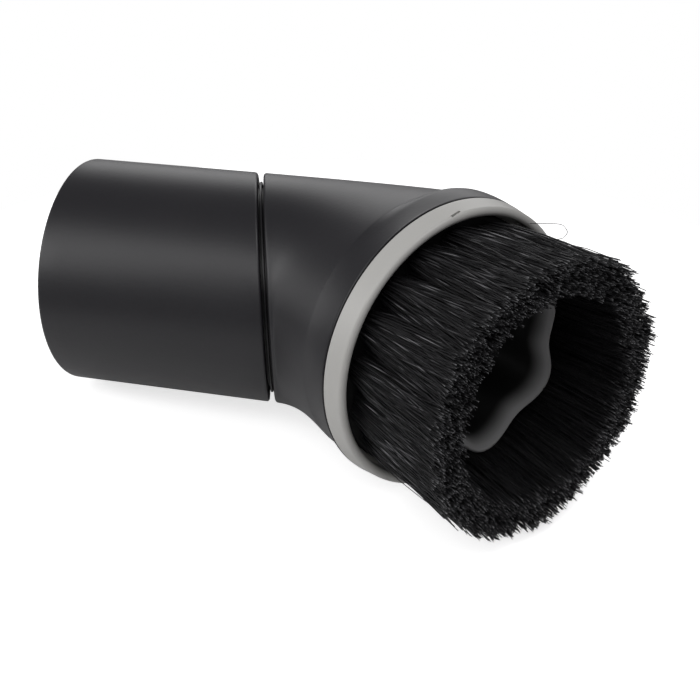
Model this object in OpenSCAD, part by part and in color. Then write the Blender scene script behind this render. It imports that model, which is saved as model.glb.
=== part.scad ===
// Vacuum dusting brush: a short connector sleeve, a swivelling bent head,
// a trim ring and a round field of bristle tufts.
//
// Frame: the origin is the centre of the sleeve's open end. +X runs along the
// sleeve towards the brush, +Z is up, and the mouth turns towards -Y. The brush
// lies on its side, so the plane z = 0 cuts it into two mirrored halves.

/* [Connector sleeve] */
// Outside diameter of the sleeve and of the head's neck
sleeve_d = 41; // [39.5:0.5:44]
// Length along the axis, from the open end to the middle of the swivel joint
sleeve_l = 35; // [32:0.5:60]
// Inside diameter of the socket that the wand pushes into
socket_d = 35.2; // [33:0.1:36]
// Depth of the socket, up to the stop shoulder
socket_l = 18; // [10:0.5:19]
// Inside diameter of the air path behind the stop shoulder
air_d = 31.2; // [26:0.2:32]
// Chamfer around the outside of the open end
mouth_chamfer = 0.7; // [0.3:0.1:1]

/* [Swivel joint] */
// Tilt of the joint plane away from square to the sleeve
joint_tilt = 18.5; // [10:0.5:20]
// Width of the gap between the sleeve and the head
joint_gap = 1; // [0.9:0.1:2]
// Outside diameter of the head's spigot, which turns inside the sleeve
spigot_d = 35.8; // [34:0.1:36]
// Length of the spigot behind the joint plane
spigot_l = 5.5; // [4.5:0.1:6]
// Radial running clearance around the spigot
running_clearance = 0.06; // [0.03:0.01:0.1]
// Height of the snap bead above the spigot
bead_h = 0.4; // [0.2:0.05:0.5]
// Width of the snap bead
bead_w = 1.2; // [0.8:0.1:1.5]
// Clearance around the bead in its groove, and behind the spigot
bead_clearance = 0.3; // [0.2:0.05:0.4]
// How far the thrust collar in the gap lies under the outside of the neck
collar_step = 1.45; // [1:0.05:1.8]
// Clearance on each side of the thrust collar
collar_clearance = 0.3; // [0.25:0.05:0.4]

/* [Brush head] */
// Angle between the sleeve's axis and the mouth's axis
bend = 37; // [25:1:45]
// Distance from the joint to the point where both axes cross
neck_l = 18.9; // [17:0.5:30]
// Distance from that point to the seam under the trim ring
mouth_l = 20; // [18:0.5:30]
// Outside diameter of the head at the seam
rim_d = 50.2; // [49:0.2:56]
// Wall thickness of the bent shell where it leaves the joint
shell_wall = 2.4; // [1.8:0.1:3]
// Straight run of the neck on the inner side of the bend
run_inner = 0.5; // [0.1:0.1:4]
// Straight run of the neck on the outer side of the bend
run_outer = 28.5; // [24:0.5:38]
// Straight run of the cup behind its band, on the inner side of the bend
cup_inner = 0.6; // [0.4:0.2:4]
// Straight run of the cup behind its band, on the outer side of the bend
cup_outer = 4; // [1:0.5:14]
// Length of the raised band behind the seam
band_l = 6.4; // [3:0.1:7]
// Height of the soft step at the back of the band, on the outer side of the bend
band_step = 1.1; // [0.3:0.1:1.4]
// How much the band narrows towards its back, on the inner side of the bend
band_taper = 1; // [0.3:0.1:2]
// Height of the crown along the band, on the outer side of the bend
band_crown = 0.2; // [0:0.05:0.5]
// Angle from the inner side of the bend at which the soft step begins to show
step_from = 60; // [20:5:80]
// Angle from the inner side of the bend at which the step has its full height
step_to = 104; // [90:2:150]

/* [Trim ring] */
// Height of the ring in front of the seam
ring_h = 4; // [3:0.1:6]
// Radius of the ring's rounded front edge
lip_r = 0.8; // [0.5:0.1:1]
// Taper of the ring's outside, from the seam to the front edge
ring_taper = 0.4; // [0:0.1:0.8]
// Width of the fine groove between the head and the ring
seam_w = 0.25; // [0.15:0.05:0.5]
// Depth of the ring's skirt, which plugs into the head
skirt_l = 3; // [2:0.1:3.5]
// Thickness of the skirt
skirt_t = 0.6; // [0.5:0.1:0.8]
// Wall of the head around the skirt
rim_wall = 2; // [1.6:0.1:2.4]
// Length of the witness slot in the ring's outside
slot_l = 2.2; // [1:0.1:4]
// Width of the witness slot, and its depth
slot_w = 0.4; // [0.3:0.1:0.6]
// Height of the witness slot above the seam
slot_h = 3.2; // [1:0.1:3.4]
// Tilt of the witness slot
slot_tilt = 11; // [0:1:20]
// Place of the witness slot, as an angle from the underside
slot_angle = 182; // [0:1:359]

/* [Tuft carrier] */
// Thickness of the carrier plate
plate_t = 6; // [5.5:0.1:8]
// Height of the plate's face in front of the seam
plate_lift = 1.5; // [0.5:0.1:2]
// Height of the wavy guard collar's rim in front of the seam
guard_h = 11.5; // [8:0.5:14]
// Distance from the tuft holes to the crests of the guard collar, at the plate
guard_gap = 0.8; // [0.5:0.1:2]
// How much wider the guard collar is at its rim than at the plate
guard_flare = 1.5; // [0:0.1:1.6]
// Height over which the guard collar opens out to its rim
guard_mouth_l = 4; // [2:0.5:6]
// Height of the waves around the guard collar, from the mean to a crest
guard_wave = 1.25; // [0:0.05:1.4]
// Number of waves around the guard collar
guard_waves = 6; // [3:1:9]
// Thickness of the guard collar
guard_t = 0.9; // [0.7:0.1:1.2]

/* [Bristle tufts] */
// Number of tufts in each of the two rows
tufts_in_row = 18; // [12:1:18]
// Distance from the plate's edge to the middle of the outer row
row_margin = 3.4; // [2.4:0.1:3.6]
// Distance between the middles of the two rows at the plate
row_spacing = 2.1; // [2:0.1:2.4]
// Diameter of the hole that each tuft is set in
tuft_hole_d = 2.9; // [2:0.1:3]
// Depth of that hole
tuft_hole_l = 4.6; // [3.5:0.1:4.8]
// Height of the bristle tips in front of the seam
tip_h = 24.9; // [18:0.5:40]
// How far the outside of the bristle field lies inside the rim at the tips
tip_inset = 1.5; // [1:0.1:3]
// Width of the bristle field at the tips
field_w = 6; // [5:0.1:6.2]
// Unevenness of the cut tips
tip_ragged = 0.7; // [0:0.1:1.5]
// Height of the wire anchor that holds a tuft
anchor_h = 1.8; // [1:0.1:2.2]
// Thickness of the wire anchor
anchor_t = 0.4; // [0.25:0.05:0.6]

/* [Fits] */
// Clearance between pieces that are pushed together and stay so
fit = 0.08; // [0.03:0.01:0.12]

/* [Hidden] */
sleeve_r = sleeve_d / 2;
socket_r = socket_d / 2;
air_r = air_d / 2;
spigot_r = spigot_d / 2;
bearing_r = spigot_r + running_clearance;
half_gap = joint_gap / 2;
rim_r = rim_d / 2;

// Radii of the pieces that nest inside the head's front, from outside to inside
seat_r = rim_r - rim_wall;
skirt_outer_r = seat_r - fit;
skirt_inner_r = skirt_outer_r - skirt_t;
plate_r = skirt_inner_r - fit;
ledge_w = 2;
hollow_r = plate_r - ledge_w;
plate_back = plate_lift - plate_t;

// Radii of the two rows and of the guard collar, from the plate's edge inwards
outer_row_r = plate_r - row_margin;
inner_row_r = outer_row_r - row_spacing;
guard_base_r = inner_row_r - tuft_hole_d / 2 - guard_gap - guard_t - guard_wave;
guard_rim_r = guard_base_r + guard_flare;

// Radii of the bristle field at the tips
tip_outer_r = rim_r - tip_inset;
tip_inner_r = tip_outer_r - field_w;

// Directions of the mouth's axis and of its inner side, and the seam's centre
mouth_dir = [cos(bend), -sin(bend), 0];
inner_dir = [-sin(bend), -cos(bend), 0];
up_dir = [0, 0, 1];
seam_centre = [sleeve_l + neck_l, 0, 0] + mouth_l * mouth_dir;

// Facets of the lofted shell and of the guard collar
shell_sides = 60;
shell_rings = 14;
band_stations = [0.1, 0.2, 0.35, 0.6, 0.8, 1];
band_rise = 0.35;
hollow_sides = 40;
hollow_rings = 6;
guard_sides = 72;
tuft_sides = 14;
tuft_heights = [0.15, 0.5, 1];
// How early the tufts spread (1 is evenly), and how deep their flutes are
tuft_spread = 0.6;
tuft_flute = 0.1;

// How far a cut runs past the face that it opens
over = 1;
$fn = 96;

outer_names = [for (i = [1:tufts_in_row]) str("tuft_outer_", i < 10 ? "0" : "", i)];
inner_names = [for (i = [1:tufts_in_row]) str("tuft_inner_", i < 10 ? "0" : "", i)];

// Places its children with +Z along the swivel axis, towards the head
module at_joint() {
    translate([sleeve_l, 0, 0]) rotate([0, 90, joint_tilt]) children();
}

// Places its children with +Z along the mouth's axis and z = 0 at the seam.
// Its angles count from the underside, through the outer side of the bend.
module at_mouth() {
    translate(seam_centre) rotate([0, 90, -bend]) children();
}

// Points of an arc in a section
function arc(c, r, a0, a1, steps) =
    [for (i = [0:steps]) c + r * [cos(a0 + (a1 - a0) * i / steps), sin(a0 + (a1 - a0) * i / steps)]];

// A value that goes from inner to outer around the bend, and slowly at first
function around(a, inner, outer, slow) = inner + (outer - inner) * pow((1 - cos(a)) / 2, slow);

// A point on the cylinder of radius r around the sleeve's axis, where the
// joint plane cuts it at the distance off towards the head
function neck_point(a, r, off) =
    [sleeve_l + (off + r * cos(a) * sin(joint_tilt)) / cos(joint_tilt), -r * cos(a), r * sin(a)];

// A point on the circle of radius r around the mouth's axis, d in front of the seam
function mouth_point(a, r, d) =
    seam_centre + d * mouth_dir + r * cos(a) * inner_dir + r * sin(a) * up_dir;

// A point of the curve that leaves the neck along X and meets the seam along the mouth's axis
function elbow_point(t, a, neck_r, off, cup_r, d) =
    let (
        p0 = neck_point(a, neck_r, off),
        p1 = p0 + [around(a, run_inner, run_outer, 1), 0, 0],
        p3 = mouth_point(a, cup_r, d),
        p2 = p3 - around(a, cup_inner, cup_outer, 4) * mouth_dir,
        s = 1 - t
    )
    s * s * s * p0 + 3 * s * s * t * p1 + 3 * s * t * t * p2 + t * t * t * p3;

// A closed solid through rings of points, each ring with the same number of
// sides, its last end closed over the point tip where one is given
module loft(rings, tip = undef) {
    n = len(rings[0]);
    m = len(rings);
    first = m * n;
    points = [for (ring = rings) each ring];
    ends = [mean(rings[0]), is_undef(tip) ? mean(rings[m - 1]) : tip];
    sides = [
        for (j = [0:m - 2], i = [0:n - 1])
            let (k = (i + 1) % n)
            each [[j * n + i, (j + 1) * n + k, (j + 1) * n + i], [j * n + i, j * n + k, (j + 1) * n + k]]
    ];
    start = [for (i = [0:n - 1]) [first, (i + 1) % n, i]];
    finish = [for (i = [0:n - 1]) [first + 1, (m - 1) * n + i, (m - 1) * n + (i + 1) % n]];
    polyhedron(concat(points, ends), concat(sides, start, finish), convexity = 6);
}

function mean(points) = [for (p = points) 1] * points / len(points);

// Share of the step at an angle from the inner side of the bend: none there, and
// all of it on the outer side
function step_share(a) =
    let (t = min(1, max(0, (acos(cos(a)) - step_from) / (step_to - step_from))))
    t * t * (3 - 2 * t);

// Radius of the cup just behind its band
function crease_r(a) = rim_r - band_taper - (band_step - band_taper) * step_share(a);

// Radius along the band, from u = 0 at its back to u = 1 at the seam: it rises
// at once where the step shows, and smoothly elsewhere
function band_r(a, u) =
    let (
        smooth = 1 - cos(90 * u),
        quick = sin(90 * min(1, u / band_rise)),
        rise = smooth + (quick - smooth) * step_share(a)
    )
    crease_r(a) + (rim_r - crease_r(a)) * rise + band_crown * step_share(a) * sin(180 * u);

// The outside of the head: the bend, and then the raised band up to the seam
module head_skin() {
    bend_rings = [
        for (j = [0:shell_rings])
            [for (a = steps(shell_sides)) elbow_point(j / shell_rings, a, sleeve_r, half_gap, crease_r(a), -band_l)]
    ];
    band_rings = [
        for (u = band_stations)
            [for (a = steps(shell_sides)) mouth_point(a, band_r(a, u), -band_l * (1 - u))]
    ];
    loft(concat(bend_rings, band_rings));
}

// The hollow inside the bend, from behind the neck's end wall past the seam
module head_hollow() {
    loft([
        for (j = [0:hollow_rings])
            [for (a = steps(hollow_sides))
                elbow_point(j / hollow_rings, a, sleeve_r - shell_wall, half_gap + shell_wall, hollow_r, over)]
    ]);
}

function steps(n) = [for (i = [0:n - 1]) 360 * i / n];

// Everything behind the joint plane, as a block to cut with or to keep
module behind_joint(size, off) {
    at_joint() translate([-size, -size, -2 * size - off]) cube(2 * size);
}

// Sleeve

module connector_sleeve() {
    color("#26262a")
    difference() {
        intersection() {
            rotate([0, 90, 0]) sleeve_blank();
            behind_joint(2 * sleeve_l, half_gap);
        }
        rotate([0, 90, 0]) translate([0, 0, -over]) cylinder(h = socket_l + over, r = socket_r);
        rotate([0, 90, 0]) translate([0, 0, -over]) cylinder(h = 2 * sleeve_l, r = air_r);
        at_joint() swivel_bearing();
    }
}

module sleeve_blank() {
    long = sleeve_l + sleeve_r;
    cylinder(h = mouth_chamfer, r1 = sleeve_r - mouth_chamfer, r2 = sleeve_r);
    translate([0, 0, mouth_chamfer]) cylinder(h = long - mouth_chamfer, r = sleeve_r);
}

// The counterbore for the spigot, with the groove for its bead
module swivel_bearing() {
    deep = spigot_l + bead_clearance;
    translate([0, 0, -half_gap - deep]) cylinder(h = deep + over, r = bearing_r);
    translate([0, 0, -half_gap - spigot_l - bead_clearance])
        cylinder(h = bead_w + 2 * bead_clearance, r = spigot_r + bead_h + bead_clearance);
}

// Brush head

module head_housing() {
    color("#26262a")
    difference() {
        union() {
            head_skin();
            at_joint() spigot();
        }
        head_hollow();
        at_joint() translate([0, 0, -half_gap - spigot_l - over])
            cylinder(h = spigot_l + joint_gap + shell_wall + 2 * over, r = air_r - fit);
        at_mouth() translate([0, 0, plate_back - fit]) cylinder(h = plate_t + over, r = plate_r + fit);
        at_mouth() translate([0, 0, -skirt_l - fit]) cylinder(h = skirt_l + over, r = seat_r);
    }
}

// The spigot with its bead, and the thrust collar that fills the gap
module spigot() {
    translate([0, 0, -half_gap - spigot_l]) cylinder(h = spigot_l + joint_gap + over, r = spigot_r);
    translate([0, 0, -half_gap - spigot_l]) cylinder(h = bead_w, r = spigot_r + bead_h);
    translate([0, 0, -half_gap + collar_clearance])
        cylinder(h = joint_gap - 2 * collar_clearance, r = sleeve_r - collar_step);
}

// Trim ring

module trim_ring() {
    color("#b7b7b3")
    at_mouth() difference() {
        rotate_extrude() ring_section();
        rotate(slot_angle) translate([rim_r - ring_taper - slot_w, 0, slot_h]) rotate([slot_tilt, 0, 0])
            translate([0, -slot_l / 2, -slot_w / 2]) cube([rim_wall, slot_l, slot_w]);
    }
}

module ring_section() {
    lip = [rim_r - ring_taper - lip_r, ring_h - lip_r];
    polygon(concat(
        [[skirt_inner_r, -skirt_l], [skirt_outer_r, -skirt_l], [skirt_outer_r, seam_w], [rim_r, seam_w]],
        arc(lip, lip_r, 0, 180, 16),
        [[lip[0] - lip_r, seam_w + lip_r], [skirt_inner_r, seam_w]]
    ));
}

// Tuft carrier

module tuft_carrier() {
    color("#161617")
    at_mouth() difference() {
        union() {
            translate([0, 0, plate_back]) cylinder(h = plate_t, r = plate_r);
            guard_solid(guard_base_r + guard_t, guard_rim_r + guard_t, plate_back, guard_h);
        }
        guard_solid(guard_base_r, guard_rim_r, plate_back - over, guard_h + over);
        each_tuft(outer_row_r, outer_lean, 0) tuft_hole();
        each_tuft(inner_row_r, inner_lean, half_step) tuft_hole();
    }
}

// Angle between two tufts of a row, halved because the rows are staggered
half_step = 180 / tufts_in_row;

// Where each row's tips are, and how far its tufts lean outwards
tip_middle_r = (tip_outer_r + tip_inner_r) / 2;
tip_rise = tip_h - plate_lift;
outer_tip_r = (tip_middle_r + tip_outer_r) / 2;
inner_tip_r = (tip_middle_r + tip_inner_r) / 2;
outer_lean = atan((outer_tip_r - outer_row_r) / tip_rise);
inner_lean = atan((inner_tip_r - inner_row_r) / tip_rise);

// Radius of the guard collar at an angle from the underside
function guard_r(mean_r, a) = mean_r + guard_wave * cos(guard_waves * a);

// A wavy plug: straight, and then opened out like a bell up to the rim
module guard_solid(base_r, top_r, low, high) {
    bell = [for (s = [0:0.25:1]) [guard_h - guard_mouth_l * (1 - s), base_r + (top_r - base_r) * s * s]];
    levels = concat([[low, base_r], [plate_lift, base_r]], bell);
    flare = (high > guard_h) ? [[high, top_r + (high - guard_h) / 2]] : [];
    loft([
        for (level = concat(levels, flare))
            [for (i = [0:guard_sides - 1])
                let (a = -360 * i / guard_sides, r = guard_r(level[1], a))
                [r * cos(a), r * sin(a), level[0]]]
    ]);
}

// Puts its children at each tuft of a row, with z = 0 at the plate's face
module each_tuft(row_r, lean, phase) {
    for (i = [0:tufts_in_row - 1]) at_tuft(row_r, lean, phase, i) children();
}

module at_tuft(row_r, lean, phase, i) {
    rotate(phase + i * 2 * half_step) translate([row_r, 0, plate_lift]) rotate([0, lean, 0]) children();
}

module tuft_hole() {
    translate([0, 0, -tuft_hole_l]) cylinder(h = tuft_hole_l + over, r = tuft_hole_d / 2, $fn = 24);
}

// Anchors

module tuft_anchors() {
    color("#b9b3a0")
    at_mouth() {
        each_tuft(outer_row_r, outer_lean, 0) anchor(0);
        each_tuft(inner_row_r, inner_lean, half_step) anchor(0);
    }
}

// A flat piece of wire across the hole, inside the fold of the tuft
module anchor(grow) {
    wide = tuft_hole_d - 2 * fit;
    floor_gap = 3 * fit;
    translate([-anchor_t / 2 - grow, -wide / 2 - 2 * grow, -tuft_hole_l + floor_gap - over * sign(grow)])
        cube([anchor_t + 2 * grow, wide + 4 * grow, anchor_h + grow + over * sign(grow)]);
}

// Tufts

// A bundle of bristles: round in its hole, and spread at the cut tips into a
// fluted wedge that fills its share of the ring
module tuft(row_r, lean, tip_in, tip_out, phase, i) {
    turn = phase + i * 2 * half_step;
    tip_r = (tip_in + tip_out) / 2;
    root_r = tuft_hole_d / 2 - fit;
    half_wide = tip_r * half_step * PI / 180 - fit;
    at_mouth() difference() {
        loft(
            concat(
                [root_ring(row_r, lean, turn, root_r, fit - tuft_hole_l), root_ring(row_r, lean, turn, root_r, 0)],
                [for (h = tuft_heights) spread_ring(row_r, tip_r, turn, root_r, half_wide, h, i)]
            ),
            polar(tip_r, turn, tip_h - tip_ragged)
        );
        at_tuft(row_r, lean, phase, i) anchor(fit / 2);
    }
}

function polar(r, a, z) = [r * cos(a), r * sin(a), z];

// Half of the room that a row has across, at the share h of the way up to the tips
function half_deep(h) =
    ((outer_row_r - inner_row_r) * (1 - h) + (outer_tip_r - inner_tip_r) * h) / 2 - fit;

// A round section of the tuft, z above the plate's face along its leaning axis
function root_ring(row_r, lean, turn, r, z) = [
    for (k = [0:tuft_sides - 1])
        let (
            a = -360 * k / tuft_sides,
            u = r * cos(a),
            radius = row_r + u * cos(lean) + z * sin(lean),
            side = r * sin(a)
        )
        [radius * cos(turn) - side * sin(turn), radius * sin(turn) + side * cos(turn),
            plate_lift - u * sin(lean) + z * cos(lean)]
];

// A section at the share h of the way up to the tips
function spread_ring(row_r, tip_r, turn, root_r, half_wide, h, i) = [
    for (k = [0:tuft_sides - 1])
        let (
            a = -360 * k / tuft_sides,
            s = pow(h, tuft_spread),
            flute = 1 - tuft_flute * s * (k % 2),
            square = max(abs(cos(a)), abs(sin(a))),
            swell = 1 + (1 / square - 1) * s,
            deep = half_deep(h) * cos(a) * swell * flute,
            wide = (root_r + (half_wide - root_r) * s) * sin(a) * swell * flute,
            middle = row_r + (tip_r - row_r) * h,
            jitter = tip_ragged * (sin(137.5 * (k + tuft_sides * i)) - 1) / 2
        )
        polar(middle + deep, turn + wide / (middle + deep) * 180 / PI,
            plate_lift + tip_rise * h + (h == 1 ? jitter : 0))
];

module outer_tuft(i) {
    color("#0e0e10") tuft(outer_row_r, outer_lean, tip_middle_r, tip_outer_r, 0, i);
}

module inner_tuft(i) {
    color("#0e0e10") tuft(inner_row_r, inner_lean, tip_inner_r, tip_middle_r, half_step, i);
}

connector_sleeve();
head_housing();
trim_ring();
tuft_carrier();
tuft_anchors();
for (i = [0:tufts_in_row - 1]) {
    outer_tuft(i);
    inner_tuft(i);
}
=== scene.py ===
# %% [markdown]
# # A vacuum dusting brush
# The real brush is a short black sleeve that pushes onto a wand, a bent head that swivels on the sleeve,
# a pale trim ring round the mouth, and two rows of black nylon tufts. The solid model fixes every size.
# This lesson dresses it: smooth shells with soft edges, thousands of single bristles, and plastic finishes.

# %% Load the solid model
import math

import bmesh
import bpy
import numpy as np
from mathutils import Matrix


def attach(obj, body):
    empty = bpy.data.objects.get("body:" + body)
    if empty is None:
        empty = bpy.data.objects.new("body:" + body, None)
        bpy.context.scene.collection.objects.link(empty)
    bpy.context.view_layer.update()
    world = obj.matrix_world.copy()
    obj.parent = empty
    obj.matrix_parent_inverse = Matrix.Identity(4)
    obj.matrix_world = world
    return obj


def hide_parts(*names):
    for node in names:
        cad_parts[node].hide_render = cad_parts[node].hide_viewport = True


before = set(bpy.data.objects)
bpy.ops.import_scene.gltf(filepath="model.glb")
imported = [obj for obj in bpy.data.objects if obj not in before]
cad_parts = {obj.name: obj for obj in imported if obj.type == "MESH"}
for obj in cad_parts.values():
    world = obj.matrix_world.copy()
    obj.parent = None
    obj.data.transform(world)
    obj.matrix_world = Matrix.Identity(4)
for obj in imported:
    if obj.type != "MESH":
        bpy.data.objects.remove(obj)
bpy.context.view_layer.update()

# %% [markdown]
# ## One set of sizes
# The sizes are those of the solid model, in millimetres, so that each dressed piece lies over its solid.
# Every form here is a ring of points carried along a path, so the rings share one list of angles.
# Angle 0 is the inner side of the bend, and 90 degrees is up.

# %% Sizes and directions
MM = 0.001
SLEEVE_L, SLEEVE_R, SOCKET_L, SOCKET_R, AIR_R = 35.0, 20.5, 18.0, 17.6, 15.6
TILT, BEND = math.radians(18.5), math.radians(37)
HALF_GAP, SPIGOT_R, SPIGOT_L, BEAD_H, BEAD_W = 0.5, 17.9, 5.5, 0.4, 1.2
RIM_R, BAND_L, RING_H = 25.1, 6.4, 4.0
SEAT_R, PLATE_R, PLATE_TOP, PLATE_BACK = 23.1, 22.34, 1.5, -4.5
JOINT = np.array([SLEEVE_L, 0, 0])
JOINT_AXIS = np.array([math.cos(TILT), math.sin(TILT), 0])
JOINT_IN = np.array([math.sin(TILT), -math.cos(TILT), 0])
MOUTH = np.array([math.cos(BEND), -math.sin(BEND), 0])
MOUTH_IN = np.array([-math.sin(BEND), -math.cos(BEND), 0])
UP = np.array([0, 0, 1.0])
SEAM = JOINT + np.array([18.9, 0, 0]) + 20 * MOUTH
print("The seam under the ring is at", SEAM.round(2), "mm")


# %% Rings of points
def angles(count):
    """Evenly spaced angles round a ring, in radians."""
    return np.arange(count) * 2 * math.pi / count


def circle(centre, side, r, a):
    """A circle of radius r round centre: side is its direction at angle 0, and up is at 90 degrees."""
    r = np.broadcast_to(r, a.shape)
    return centre + (r * np.cos(a))[:, None] * side + (r * np.sin(a))[:, None] * UP


def sleeve_ring(r, x, a):
    return circle(np.array([x, 0, 0]), np.array([0, -1.0, 0]), r, a)


def joint_ring(r, off, a):
    """A circle round the swivel axis, off in front of the joint plane."""
    return circle(JOINT + off * JOINT_AXIS, JOINT_IN, r, a)


def mouth_ring(r, d, a):
    """A circle round the mouth's axis, d in front of the seam."""
    return circle(SEAM + d * MOUTH, MOUTH_IN, r, a)


def neck_ring(r, off, a):
    """Where the plane at off cuts a tube of radius r round the sleeve's axis: an oval."""
    x = SLEEVE_L + (off + r * np.cos(a) * math.sin(TILT)) / math.cos(TILT)
    return np.stack([x, -r * np.cos(a), r * np.sin(a)], axis=1)


def around(a, inner, outer, slow=1.0):
    """A value that goes from inner to outer round the bend."""
    return inner + (outer - inner) * ((1 - np.cos(a)) / 2) ** slow


# %% [markdown]
# ## From rings to a solid
# A moulded piece is a closed skin. Joining each ring to the next, and the last one back to the first,
# gives a wall with an inside and an outside in one go, with no seams to close.
# Corners get a small soft edge in the profile itself: real mouldings never have a knife edge,
# and the thin line of light along it is what makes plastic look like plastic.

# %% Mesh helpers
def finish_mesh(mesh, sharp=38):
    """Turns the faces outwards, and shades smoothly except over edges sharper than the angle."""
    bm = bmesh.new()
    bm.from_mesh(mesh)
    bmesh.ops.remove_doubles(bm, verts=bm.verts, dist=1e-7)
    bmesh.ops.recalc_face_normals(bm, faces=bm.faces)
    if bm.calc_volume(signed=True) < 0:
        bmesh.ops.reverse_faces(bm, faces=bm.faces)
    for edge in bm.edges:
        edge.smooth = not (len(edge.link_faces) == 2 and edge.calc_face_angle(0) > math.radians(sharp))
    for face in bm.faces:
        face.smooth = True
    bm.to_mesh(mesh)
    bm.free()


def make_piece(name, verts, faces, sharp=38):
    mesh = bpy.data.meshes.new(name)
    mesh.from_pydata([tuple(v) for v in np.asarray(verts) * MM], [], faces)
    finish_mesh(mesh, sharp)
    piece = bpy.data.objects.new(name, mesh)
    bpy.context.scene.collection.objects.link(piece)
    print(name, "has", len(mesh.polygons), "faces")
    return piece


def ring_solid(name, rings, sharp=38):
    """A closed skin through rings of points, each with the same count."""
    m, n = len(rings), len(rings[0])
    faces = [
        (j * n + i, j * n + (i + 1) % n, (j + 1) % m * n + (i + 1) % n, (j + 1) % m * n + i)
        for j in range(m)
        for i in range(n)
    ]
    return make_piece(name, np.concatenate(rings), faces, sharp)


def soften(profile, steps=4):
    """Rounds the corners of a closed profile of (x, y, softness) points, and returns its (x, y) points."""
    out = []
    for k, (x, y, soft) in enumerate(profile):
        here = np.array([x, y], float)
        if soft == 0:
            out.append(here)
            continue
        before = np.array(profile[k - 1][:2], float) - here
        after = np.array(profile[(k + 1) % len(profile)][:2], float) - here
        start = here + before / np.linalg.norm(before) * min(soft, np.linalg.norm(before) / 2)
        end = here + after / np.linalg.norm(after) * min(soft, np.linalg.norm(after) / 2)
        for t in np.linspace(0, 1, steps + 1):
            out.append((1 - t) ** 2 * start + 2 * t * (1 - t) * here + t * t * end)
    return out


def cut_away(piece, cutter):
    """Cuts the cutter's shape out of the piece, and removes the cutter."""
    cut = piece.modifiers.new("Cut", "BOOLEAN")
    cut.operation, cut.object, cut.solver = "DIFFERENCE", cutter, "EXACT"
    evaluated = piece.evaluated_get(bpy.context.evaluated_depsgraph_get())
    mesh = bpy.data.meshes.new_from_object(evaluated)
    piece.modifiers.remove(cut)
    piece.data = mesh
    bpy.data.objects.remove(cutter)
    finish_mesh(mesh)
    print(piece.name, "after the cut:", len(mesh.polygons), "faces")


# %% [markdown]
# ## The connector sleeve
# On the real brush this is one short tube. Outside it is a plain cylinder with a rounded open end.
# At the other end it is cut at a slant, and inside that end is the counterbore in which the head turns,
# with the groove that its snap bead clicks into. The socket for the wand has a stop shoulder.

# %% Build the sleeve
SIDES = 192
EDGE, LIP, LEAD_IN = 0.55, 0.7, 0.3
BORE_FIT, END_PLAY, GROOVE_W = 0.06, 0.3, 1.8
a = angles(SIDES)
quarter = np.linspace(0, math.pi / 2, 7)


def straight(ring_a, ring_b, steps):
    """Rings between two rings, without the two themselves."""
    return [ring_a + (ring_b - ring_a) * k / steps for k in range(1, steps)]


sleeve_rings = [sleeve_ring(SOCKET_R, LEAD_IN, a), sleeve_ring(SOCKET_R + LEAD_IN, 0, a)]
sleeve_rings += [sleeve_ring(SLEEVE_R - LIP + LIP * math.sin(t), LIP - LIP * math.cos(t), a) for t in quarter]
cut_start = neck_ring(SLEEVE_R, -HALF_GAP - EDGE, a)
sleeve_rings += straight(sleeve_rings[-1], cut_start, 12)
sleeve_rings += [
    neck_ring(SLEEVE_R - EDGE + EDGE * math.cos(t), -HALF_GAP - EDGE + EDGE * math.sin(t), a) for t in quarter
]
bore_r = SPIGOT_R + BORE_FIT
floor_off = -HALF_GAP - SPIGOT_L - END_PLAY
groove_r = SPIGOT_R + BEAD_H + END_PLAY
sleeve_rings += [joint_ring(bore_r + 0.2, -HALF_GAP, a), joint_ring(bore_r, -HALF_GAP - 0.2, a)]
sleeve_rings += [joint_ring(r, floor_off + GROOVE_W, a) for r in (bore_r, groove_r)]
sleeve_rings += [joint_ring(groove_r, floor_off, a), neck_ring(AIR_R, floor_off, a)]
sleeve_rings += straight(neck_ring(AIR_R, floor_off, a), sleeve_ring(AIR_R, SOCKET_L, a), 4)
sleeve_rings += [sleeve_ring(AIR_R, SOCKET_L + LEAD_IN, a), sleeve_ring(AIR_R + LEAD_IN, SOCKET_L, a)]
sleeve_rings += [sleeve_ring(SOCKET_R, SOCKET_L, a)]
sleeve = ring_solid("sleeve_shell", sleeve_rings)

# %% [markdown]
# ## The brush head
# The head is one moulding: a bent shell from the slanted joint to the mouth, a raised band behind the ring,
# and on the joint side the spigot with its snap bead, and the thrust collar that shows as a thin strip
# in the gap.
# Sweeping a circle along a bent pipe would give the wrong neck, so each point follows its own curve:
# it leaves the neck along the sleeve and arrives at the band along the mouth's axis.

# %% Build the head
def elbow_ring(t, a, neck_r, off, cup_r, d):
    p0 = neck_ring(neck_r, off, a)
    p1 = p0 + around(a, 0.5, 28.5)[:, None] * np.array([1.0, 0, 0])
    p3 = mouth_ring(cup_r, d, a)
    p2 = p3 - around(a, 0.6, 4, 4)[:, None] * MOUTH
    s = 1 - t
    return s**3 * p0 + 3 * s * s * t * p1 + 3 * s * t * t * p2 + t**3 * p3


def step_share(a):
    """How much of the band's step shows: none on the inner side of the bend, all of it on the outer side."""
    from_inner = np.degrees(np.arccos(np.cos(a)))
    t = np.clip((from_inner - 60) / 44, 0, 1)
    return t * t * (3 - 2 * t)


back_r = RIM_R - 1 - 0.1 * step_share(a)


def band_ring(u, a):
    """The raised band, from u = 0 at its back to u = 1 at the seam."""
    smooth, quick = 1 - math.cos(math.pi * u / 2), math.sin(math.pi / 2 * min(1, u / 0.35))
    rise = smooth + (quick - smooth) * step_share(a)
    r = back_r + (RIM_R - back_r) * rise + 0.2 * step_share(a) * math.sin(math.pi * u)
    return mouth_ring(r, -BAND_L * (1 - u), a)


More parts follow.
